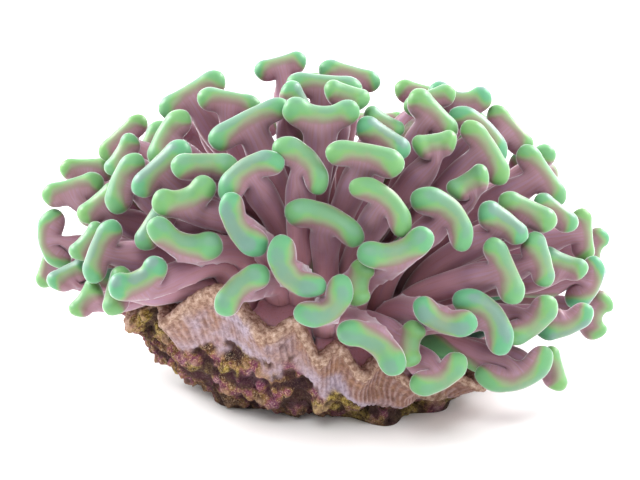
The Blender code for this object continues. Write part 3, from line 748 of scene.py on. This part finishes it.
def cushion(number, seeds):
    """The polyp's share of the flesh mound, rounded at its borders."""
    mesh = bmesh.new()
    loops = []
    heights = [(FLOOR_PART, True), (MOUND_PART, True)] + [(part, False) for part in MOUND_RINGS]
    for part, under in heights:
        ring = bmesh.ops.create_circle(mesh, segments=CUSHION_SIDES, radius=1)["verts"]
        for step, corner in enumerate(ring):
            azimuth = 360 * step / len(ring)
            if under:
                corner.co = bowl_point(part, azimuth, BOWL_GAP)
            else:
                dip = pocket_wave(azimuth) * FLESH_DIP * part ** 3
                corner.co = oval(azimuth) * (FLESH_PART * part)
                corner.co.z = mound_height(part, azimuth) - dip
        loops.append(ring)
    for low, high in zip(loops, loops[1:]):
        edges = {edge for corner in low + high for edge in corner.link_edges}
        ring_edges = [edge for edge in edges if len(edge.link_faces) < 2]
        bmesh.ops.bridge_loops(mesh, edges=ring_edges)
    for ring in (loops[0], loops[-1]):
        bmesh.ops.contextual_create(mesh, geom=ring)
    for middle, away in borders(seeds, number):
        cut = bmesh.ops.bisect_plane(mesh, geom=mesh.verts[:] + mesh.edges[:] + mesh.faces[:],
                                     plane_co=middle - away * CUSHION_GAP / 2, plane_no=away,
                                     clear_outer=True)
        edges = [item for item in cut["geom_cut"] if isinstance(item, bmesh.types.BMEdge)]
        if edges:
            bmesh.ops.holes_fill(mesh, edges=edges, sides=0)
    bmesh.ops.recalc_face_normals(mesh, faces=mesh.faces[:])
    remesh = {"mode": "VOXEL", "voxel_size": CUSHION_VOXEL}
    data = modified("cushion", as_mesh("cushion", mesh), ("REMESH", remesh),
                    ("SMOOTH", CUSHION_SMOOTHING))
    places = rows_of(data, "co")
    masks = {"green": 0, "crest": 0, "rise": FLESH_RISE, "tone": FLESH_TONE,
             "grain_x": places[:, 0] / FLESH_GRAIN, "grain_y": places[:, 1] / FLESH_GRAIN}
    for mask, values in masks.items():
        add_mask(data, mask, np.zeros(len(places)) + values)
    return data


def make_piece(name, meshes, look, node):
    """One object of several meshes in millimetres, in place of its CAD node."""
    whole = bmesh.new()
    for data in meshes:
        whole.from_mesh(data)
    joined = as_mesh(name, whole)
    for data in meshes:
        bpy.data.meshes.remove(data)
    joined.transform(Matrix.Scale(MM, 4))
    joined.materials.clear()
    joined.materials.append(look)
    joined.shade_smooth()
    piece = put(name, joined)
    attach(piece, "root")
    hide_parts(node)


def make_polyps(look):
    """The crowd of tentacles, settled and shared out among the polyps with their cushions."""
    seeds = [mound_point(0, 0)]
    seeds += [mound_point(POLYP_PART, azimuth) for azimuth in POLYP_AZIMUTHS]
    crowd = [Tentacle(*values, 0) for values in FRONT_TENTACLES] + back_tentacles()
    spread_roots(crowd, seeds)
    settle(crowd, seeds)
    vary = np.random.default_rng(LOBE_SEED)
    for tentacle in crowd:
        tentacle.lobes = [1 + vary.uniform(-LOBE_SCATTER, LOBE_SCATTER) for _ in range(2)]
        tentacle.tone = vary.uniform(0, 1)
        tentacle.bend += copysign(LOBE_DROOP, tentacle.bend)
        from_root = (tentacle.head - tentacle.root).normalized()
        way = tentacle.tip.lerp(from_root, TURNING_LEAN).normalized()
        tentacle.tip_arm = way * max(TURNING_RUN, tentacle.tip_arm.length)
        tentacle.neck = find_neck(tentacle)
        tentacle.rings = stalk_rings(tentacle)
    cage = tentacle_cage()
    for number in range(len(seeds)):
        meshes = [tentacle_mesh(tentacle, cage) for tentacle in crowd if tentacle.polyp == number]
        meshes.append(cushion(number, seeds))
        name = f"polyp_{number + 1:02d}"
        make_piece(name + "_flesh", meshes, look, name)


def through(values, place):
    """Smooth curve through a row of values, at a place counted in values."""
    index = min(int(place), len(values) - 2)
    part = place - index
    before = values[max(index - 1, 0)]
    low, high = values[index], values[index + 1]
    after = values[min(index + 2, len(values) - 1)]
    square = 2 * before - 5 * low + 4 * high - after
    cube = 3 * (low - high) + after - before
    return low + 0.5 * part * (high - before + part * (square + part * cube))


def stone_grid():
    """Places of the stone's surface, row by row from the foot to the bowl's floor."""
    columns = list(zip(*SKELETON_RINGS))
    azimuths = [360 * step / STONE_COLUMNS for step in range(STONE_COLUMNS)]
    ovals = [oval(azimuth) for azimuth in azimuths]
    rims = [smooth_loop(RIM_HEIGHTS, azimuth) for azimuth in azimuths]
    waves = [pocket_wave(azimuth) for azimuth in azimuths]
    stops = []
    for index, count in enumerate(ROWS_BETWEEN_RINGS):
        stops += [index + step / count for step in range(count)]
    stops.append(len(ROWS_BETWEEN_RINGS))
    rows = []
    for stop in stops:
        part, height, rise, pocket, lumps = (through(column, stop) for column in columns)
        row = []
        for azimuth, flat, rim, wave in zip(azimuths, ovals, rims, waves):
            outward = flat.normalized()
            reach = part + (smooth_loop(FOOT_PARTS, azimuth) - part) * max(0.0, 1 - stop)
            point = flat * reach + outward * (wave * pocket * POCKET_REACH)
            point.z = max(0.0, rim * height + rise - wave * pocket * POCKET_DEPTH)
            point += outward * (noise.noise(point / LUMP_PITCH) * LUMP_HEIGHT * lumps)
            row.append(point)
        rows.append(row)
    for part in (BOWL_PART, FLOOR_PART):
        rows.append([bowl_point(part, azimuth) for azimuth in azimuths])
    return stops + [stops[-1] + 1, stops[-1] + 2], rows


def ripple(point, waves):
    """Smooth noise at a point, added up from waves given as pitch and height."""
    return sum(height * noise.noise(point / pitch) for pitch, height in waves)


def stone_relief(point, stop, azimuth, around):
    """Height of the stone's own relief at a point, and its masks in the order of STONE_MASKS.

    `stop` is the point's place counted in rings, and `around` its way round the wall.
    """
    over_crust = stop - smooth_loop(CRUST_TOPS, azimuth) + ripple(point, CRUST_WAVES)
    crust = 1 - ease(*CRUST_EDGE, over_crust)
    from_front = (azimuth + 180) % 360 - 180
    band = ease(*BAND_LOW, over_crust) * (1 - ease(*BAND_HIGH, over_crust))
    band *= ease(*BAND_STARTS, from_front)
    lip = ease(*LIP_RINGS, stop + ripple(point, LIP_WAVES))
    outside = 1 - ease(*BOWL_RINGS, stop)
    phase = around / RIB_PITCH + ripple(point, RIB_WAVES)
    ridge = (0.5 + 0.5 * cos(2 * pi * phase)) ** RIB_POWER
    strength = RIB_STRENGTH + ripple(point, RIB_FADES)
    strength *= (1 - crust) * (1 - LIP_COVER * lip) * outside
    relief = (ridge - RIB_MIDDLE) * 2 * RIB_RELIEF * strength
    relief += LIP_RELIEF * lip * outside
    roughness = GRAIN_RELIEF * (GRAIN_SHARE + GRAIN_MORE * lip + GRAIN_MORE * crust)
    relief += ripple(point, GRAIN_WAVES) * roughness * outside
    pit = knob = 0.0
    if crust > 0.01:
        near, centres = noise.voronoi(point / KNOB_PITCH)
        knob = KNOB_HEIGHT * (1 - ease(*KNOB_EDGE, near[0])) + ripple(point, KNOB_WAVES)
        relief += crust * CRUST_RELIEF * (knob - CRUST_MIDDLE)
        if noise.cell(centres[0] * CHANCE_STRETCH) > PIT_CHANCE:
            pit = crust * (1 - ease(*PIT_EDGE, near[0]))
            relief -= pit * PIT_DEPTH
    # The first mask, the ridge times its strength, carries the painted shade and painted light of
    # the ribs.
    return relief, ridge * strength, crust, pit, lip, band, knob


def ways_round():
    """How far round the wall each column of the stone stands."""
    ring = [oval(360 * step / STONE_COLUMNS) * RIB_PART for step in range(STONE_COLUMNS)]
    ways = [0.0]
    for before, point in zip(ring, ring[1:]):
        ways.append(ways[-1] + (point - before).length)
    return ways


def make_skeleton(look):
    """The stone as a fine grid wrapped round the colony, then moved out and in by its relief."""
    stops, rows = stone_grid()
    mesh = bmesh.new()
    row_of = mesh.verts.layers.int.new("row")
    step_of = mesh.verts.layers.int.new("step")
    corners = bmesh.ops.create_grid(mesh, x_segments=STONE_COLUMNS, y_segments=len(rows) - 1,
                                    size=1)["verts"]
    across = STONE_COLUMNS + 1
    corners.sort(key=lambda corner: (round(corner.co.y * 1e5), corner.co.x))
    for index, corner in enumerate(corners):
        corner[row_of], corner[step_of] = index // across, index % across % STONE_COLUMNS
        corner.co = rows[corner[row_of]][corner[step_of]]
    bmesh.ops.remove_doubles(mesh, verts=mesh.verts[:], dist=1e-4)
    open_edges = [edge for edge in mesh.edges if edge.is_boundary]
    bmesh.ops.holes_fill(mesh, edges=open_edges, sides=0)
    bmesh.ops.recalc_face_normals(mesh, faces=mesh.faces[:])
    mesh.normal_update()
    ways = ways_round()
    found = []
    moves = []
    for corner in mesh.verts:
        row, step = corner[row_of], corner[step_of]
        azimuth = 360 * step / STONE_COLUMNS
        relief, *values = stone_relief(corner.co, stops[row], azimuth, ways[step])
        moves.append(corner.normal * (relief * ease(*FOOT_HEIGHTS, corner.co.z)))
        found.append(values)
    for corner, move in zip(mesh.verts, moves):
        corner.co += move
        corner.co.z = max(0.0, corner.co.z)
    for name in ("row", "step"):
        mesh.verts.layers.int.remove(mesh.verts.layers.int[name])
    data = as_mesh("stone", mesh)
    for name, values in zip(STONE_MASKS, zip(*found)):
        add_mask(data, name, values)
    make_piece("skeleton_stone", [data], look, "skeleton")


def colour(red, green, blue):
    """Colour as seen, from 0 to 255, in the shader's own scale."""
    shown = [value / 255 for value in (red, green, blue)]
    plain = [value / 12.92 if value <= 0.04045 else ((value + 0.055) / 1.055) ** 2.4
             for value in shown]
    return (*plain, 1)


class Finish:
    """A material being put together: its nodes, and short ways to add them."""

    def __init__(self, name):
        self.made = bpy.data.materials.new(name)
        self.made.use_nodes = True
        self.tree = self.made.node_tree
        self.shader = self.tree.nodes["Principled BSDF"]
        self.object_place = self.add("ShaderNodeTexCoord").outputs["Object"]

    def add(self, kind, **settings):
        node = self.tree.nodes.new(kind)
        for key, value in settings.items():
            setattr(node, key, value)
        return node

    def link(self, value, socket):
        """Feed a socket from another node, or set it to a plain value."""
        if isinstance(value, bpy.types.NodeSocket):
            self.tree.links.new(value, socket)
        else:
            socket.default_value = value

    def feed(self, node, **values):
        """Feed or set a node's sockets, named with _ for a space."""
        for key, value in values.items():
            self.link(value, node.inputs[key.replace("_", " ")])

    def mask(self, name):
        """A mask that the mesh carries."""
        return self.add("ShaderNodeAttribute", attribute_name=name).outputs["Fac"]

    def grain(self, scale, detail=3.0, roughness=0.55, place=None):
        """Noise on the piece's own place, or on another one."""
        node = self.add("ShaderNodeTexNoise")
        self.feed(node, Scale=scale, Detail=detail, Roughness=roughness,
                  Vector=place or self.object_place)
        return node.outputs["Fac"]

    def maths(self, first, second, kind="MULTIPLY"):
        node = self.add("ShaderNodeMath", operation=kind)
        self.link(first, node.inputs[0])
        self.link(second, node.inputs[1])
        return node.outputs[0]

    def span(self, value, low, high, start=0.0, end=1.0):
        """Value eased from start, where it is low, to end, where it is high."""
        node = self.add("ShaderNodeMapRange", interpolation_type="SMOOTHSTEP")
        self.feed(node, Value=value, From_Min=low, From_Max=high, To_Min=start, To_Max=end)
        return node.outputs["Result"]

    def ramp(self, value, stops):
        """Colours along a value, each stop given as its place, red, green and blue."""
        node = self.add("ShaderNodeValToRGB")
        bars = node.color_ramp.elements
        while len(bars) < len(stops):
            bars.new(0.5)
        for bar, (place, *shade) in zip(bars, stops):
            bar.position = place
            bar.color = colour(*shade)
        self.link(value, node.inputs["Fac"])
        return node.outputs["Color"]

    def mix(self, share, low, high, kind="MIX"):
        """Two colours mixed; the node's own colour sockets are its seventh and eighth."""
        node = self.add("ShaderNodeMix", data_type="RGBA", blend_type=kind)
        self.link(share, node.inputs[0])
        self.link(low, node.inputs[6])
        self.link(high, node.inputs[7])
        return node.outputs[2]

    def bump(self, height, distance, strength=1.0):
        node = self.add("ShaderNodeBump")
        self.feed(node, Distance=distance, Strength=strength, Height=height)
        self.feed(self.shader, Normal=node.outputs["Normal"])


def flesh_look():
    """Mauve stalks with fine streaks, and green caps with a greyer crest."""
    finish = Finish("coral flesh")
    green, crest, rise, tone = map(finish.mask, ("green", "crest", "rise", "tone"))
    together = finish.add("ShaderNodeCombineXYZ")
    finish.feed(together, X=finish.mask("grain_x"), Y=finish.mask("grain_y"),
                Z=finish.maths(rise, 0.7))
    streaks = finish.grain(5.0, place=together.outputs[0])
    mottle = finish.grain(170)
    fine = finish.grain(900, 2.0)
    # Lightest at the roots: painted light against the shade between the stalks.
    stalk = finish.ramp(rise, STALK_RAMP)
    stalk = finish.mix(finish.span(streaks, 0.45, 0.75, 0.0, 0.3), stalk, colour(160, 138, 182))
    stalk = finish.mix(finish.span(streaks, 0.50, 0.25, 0.0, 0.35), stalk, colour(142, 98, 82))
    edge = finish.maths(green, finish.span(mottle, 0.3, 0.7, -0.10, 0.10), "ADD")
    fresh = finish.mix(tone, colour(108, 154, 92), colour(84, 150, 112))
    cap = finish.ramp(edge, CAP_RAMP)
    cap = finish.mix(finish.span(edge, 0.5, 0.95), cap, fresh)
    skin = finish.mix(finish.span(green, 0.0, 0.2), stalk, cap)
    middle = finish.maths(crest, finish.span(mottle, 0.35, 0.65, -0.25, 0.25), "ADD")
    grey = finish.mix(tone, colour(84, 144, 112), colour(112, 124, 134))
    share = finish.maths(finish.span(middle, 0.2, 1.0), finish.span(tone, 0.0, 1.0, 0.3, 0.6))
    skin = finish.mix(share, skin, grey)
    finish.feed(finish.shader, Base_Color=skin, Roughness=finish.span(fine, 0.3, 0.7, 0.48, 0.6),
                Subsurface_Weight=0.6, Subsurface_Radius=(1.0, 0.95, 0.8), Subsurface_Scale=0.0035,
                Sheen_Weight=1.0, Sheen_Roughness=0.28, Sheen_Tint=(0.95, 0.95, 1.0, 1),
                Coat_Weight=0.4, Coat_Roughness=0.42, Coat_IOR=1.3, Specular_IOR_Level=0.25)
    finish.bump(finish.maths(streaks, 0.5), 0.0001, 0.5)
    return finish.made


def stone_look():
    """Ribbed pinkish wall with a sandy rim and a pale band, over a crust of rock and growth."""
    finish = Finish("coral stone")
    rib_shading, crust, pit, lip, band, knob = map(finish.mask, STONE_MASKS)
    broad = finish.grain(95)
    patch = finish.grain(170, 4.0, 0.62)
    speck = finish.grain(800, 4.0, 0.65)
    dots = finish.grain(2200, 2.0, 0.6)
    # Wall painted darker in the rib valleys and lighter on the rib crests: painted shade and
    # painted light following the ribs.
    wall = finish.mix(finish.span(rib_shading, 0.05, 0.75), colour(146, 109, 98), colour(176, 147, 142))
    wall = finish.mix(finish.span(patch, 0.42, 0.66, 0.0, 0.6), wall, colour(178, 136, 104))
    wall = finish.mix(lip, wall, finish.ramp(speck, RIM_RAMP))
    pale = finish.maths(band, finish.span(broad, 0.35, 0.62, 0.25, 1.0))
    wall = finish.mix(finish.maths(pale, 0.8), wall, colour(194, 181, 200))
    rock = finish.ramp(patch, ROCK_RAMP)
    rock = finish.mix(finish.span(broad, 0.51, 0.63), rock, finish.ramp(speck, MOSS_RAMP))
    rock = finish.mix(finish.span(dots, 0.53, 0.68, 0.0, 0.65), rock, colour(210, 184, 150))
    rock = finish.mix(finish.span(dots, 0.46, 0.34, 0.0, 0.6), rock, colour(58, 36, 34))
    # Low ground between the crust's knobs painted dark and the knob tops painted cream: painted
    # shade in the hollows and painted light on the tops.
    rock = finish.mix(finish.span(knob, 0.22, -0.12, 0.0, 0.85), rock, colour(54, 28, 36))
    rock = finish.mix(finish.span(knob, 0.38, 0.75, 0.0, 0.45), rock, colour(206, 170, 140))
    apart = finish.add("ShaderNodeSeparateXYZ")
    finish.feed(apart, Vector=finish.object_place)
    low = finish.span(apart.outputs["Z"], 0.0, 0.014, 0.5, 0.0)
    rock = finish.mix(low, rock, colour(58, 42, 34))
    stone = finish.mix(crust, wall, rock)
    # Pits painted near black: painted shade inside the holes.
    stone = finish.mix(finish.maths(pit, 0.9), stone, colour(34, 16, 26))
    dark = finish.span(speck, 0.36, 0.60, 0.35, 0.0)
    stone = finish.mix(dark, stone, colour(96, 66, 52), "MULTIPLY")
    finish.feed(finish.shader, Base_Color=stone, Specular_IOR_Level=0.3,
                Roughness=finish.span(speck, 0.3, 0.7, 0.92, 0.72))
    finish.bump(finish.maths(speck, finish.maths(dots, 0.5), "ADD"), 0.0005, 0.8)
    return finish.made


def floor_look():
    finish = Finish("pale floor")
    finish.feed(finish.shader, Base_Color=colour(250, 250, 250), Roughness=0.9)
    return finish.made


def aim_at_coral(thing, place):
    """Put a light or the camera at a place, turned to face the coral."""
    thing.location = place
    thing.rotation_euler = (AIM - place).to_track_quat("-Z", "Y").to_euler()


def make_stage():
    """Pale floor, soft lights and the camera."""
    mesh = bmesh.new()
    bmesh.ops.create_grid(mesh, x_segments=1, y_segments=1, size=FLOOR_SIZE)
    floor = put("floor", as_mesh("floor", mesh))
    floor.data.materials.append(floor_look())
    for name, place, size, power in LIGHTS:
        lamp = bpy.data.lights.new(name, "AREA")
        lamp.shape = "DISK"
        lamp.size = size
        lamp.energy = power
        aim_at_coral(put(name, lamp), Vector(place))
    world = bpy.data.worlds.new("studio")
    world.use_nodes = True
    background = world.node_tree.nodes["Background"]
    background.inputs["Color"].default_value = (1, 1, 1, 1)
    background.inputs["Strength"].default_value = WORLD_LIGHT
    bpy.context.scene.world = world
    lens = bpy.data.cameras.new("camera")
    lens.lens = CAMERA_LENS
    lens.sensor_width = 36
    lens.clip_start = 0.01
    camera = put("camera", lens)
    lift = radians(CAMERA_LIFT)
    away = Vector((0, -cos(lift), sin(lift))) * CAMERA_DISTANCE
    aim_at_coral(camera, AIM + away)
    bpy.context.scene.camera = camera
    bpy.context.scene.view_settings.view_transform = "Standard"


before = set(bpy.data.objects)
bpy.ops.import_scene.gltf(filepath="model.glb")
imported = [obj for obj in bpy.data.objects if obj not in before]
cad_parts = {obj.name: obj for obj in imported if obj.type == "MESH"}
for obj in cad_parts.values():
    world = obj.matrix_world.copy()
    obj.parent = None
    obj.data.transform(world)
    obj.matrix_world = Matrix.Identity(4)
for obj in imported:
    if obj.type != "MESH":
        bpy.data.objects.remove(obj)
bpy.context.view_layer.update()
make_stage()
make_skeleton(stone_look())
make_polyps(flesh_look())
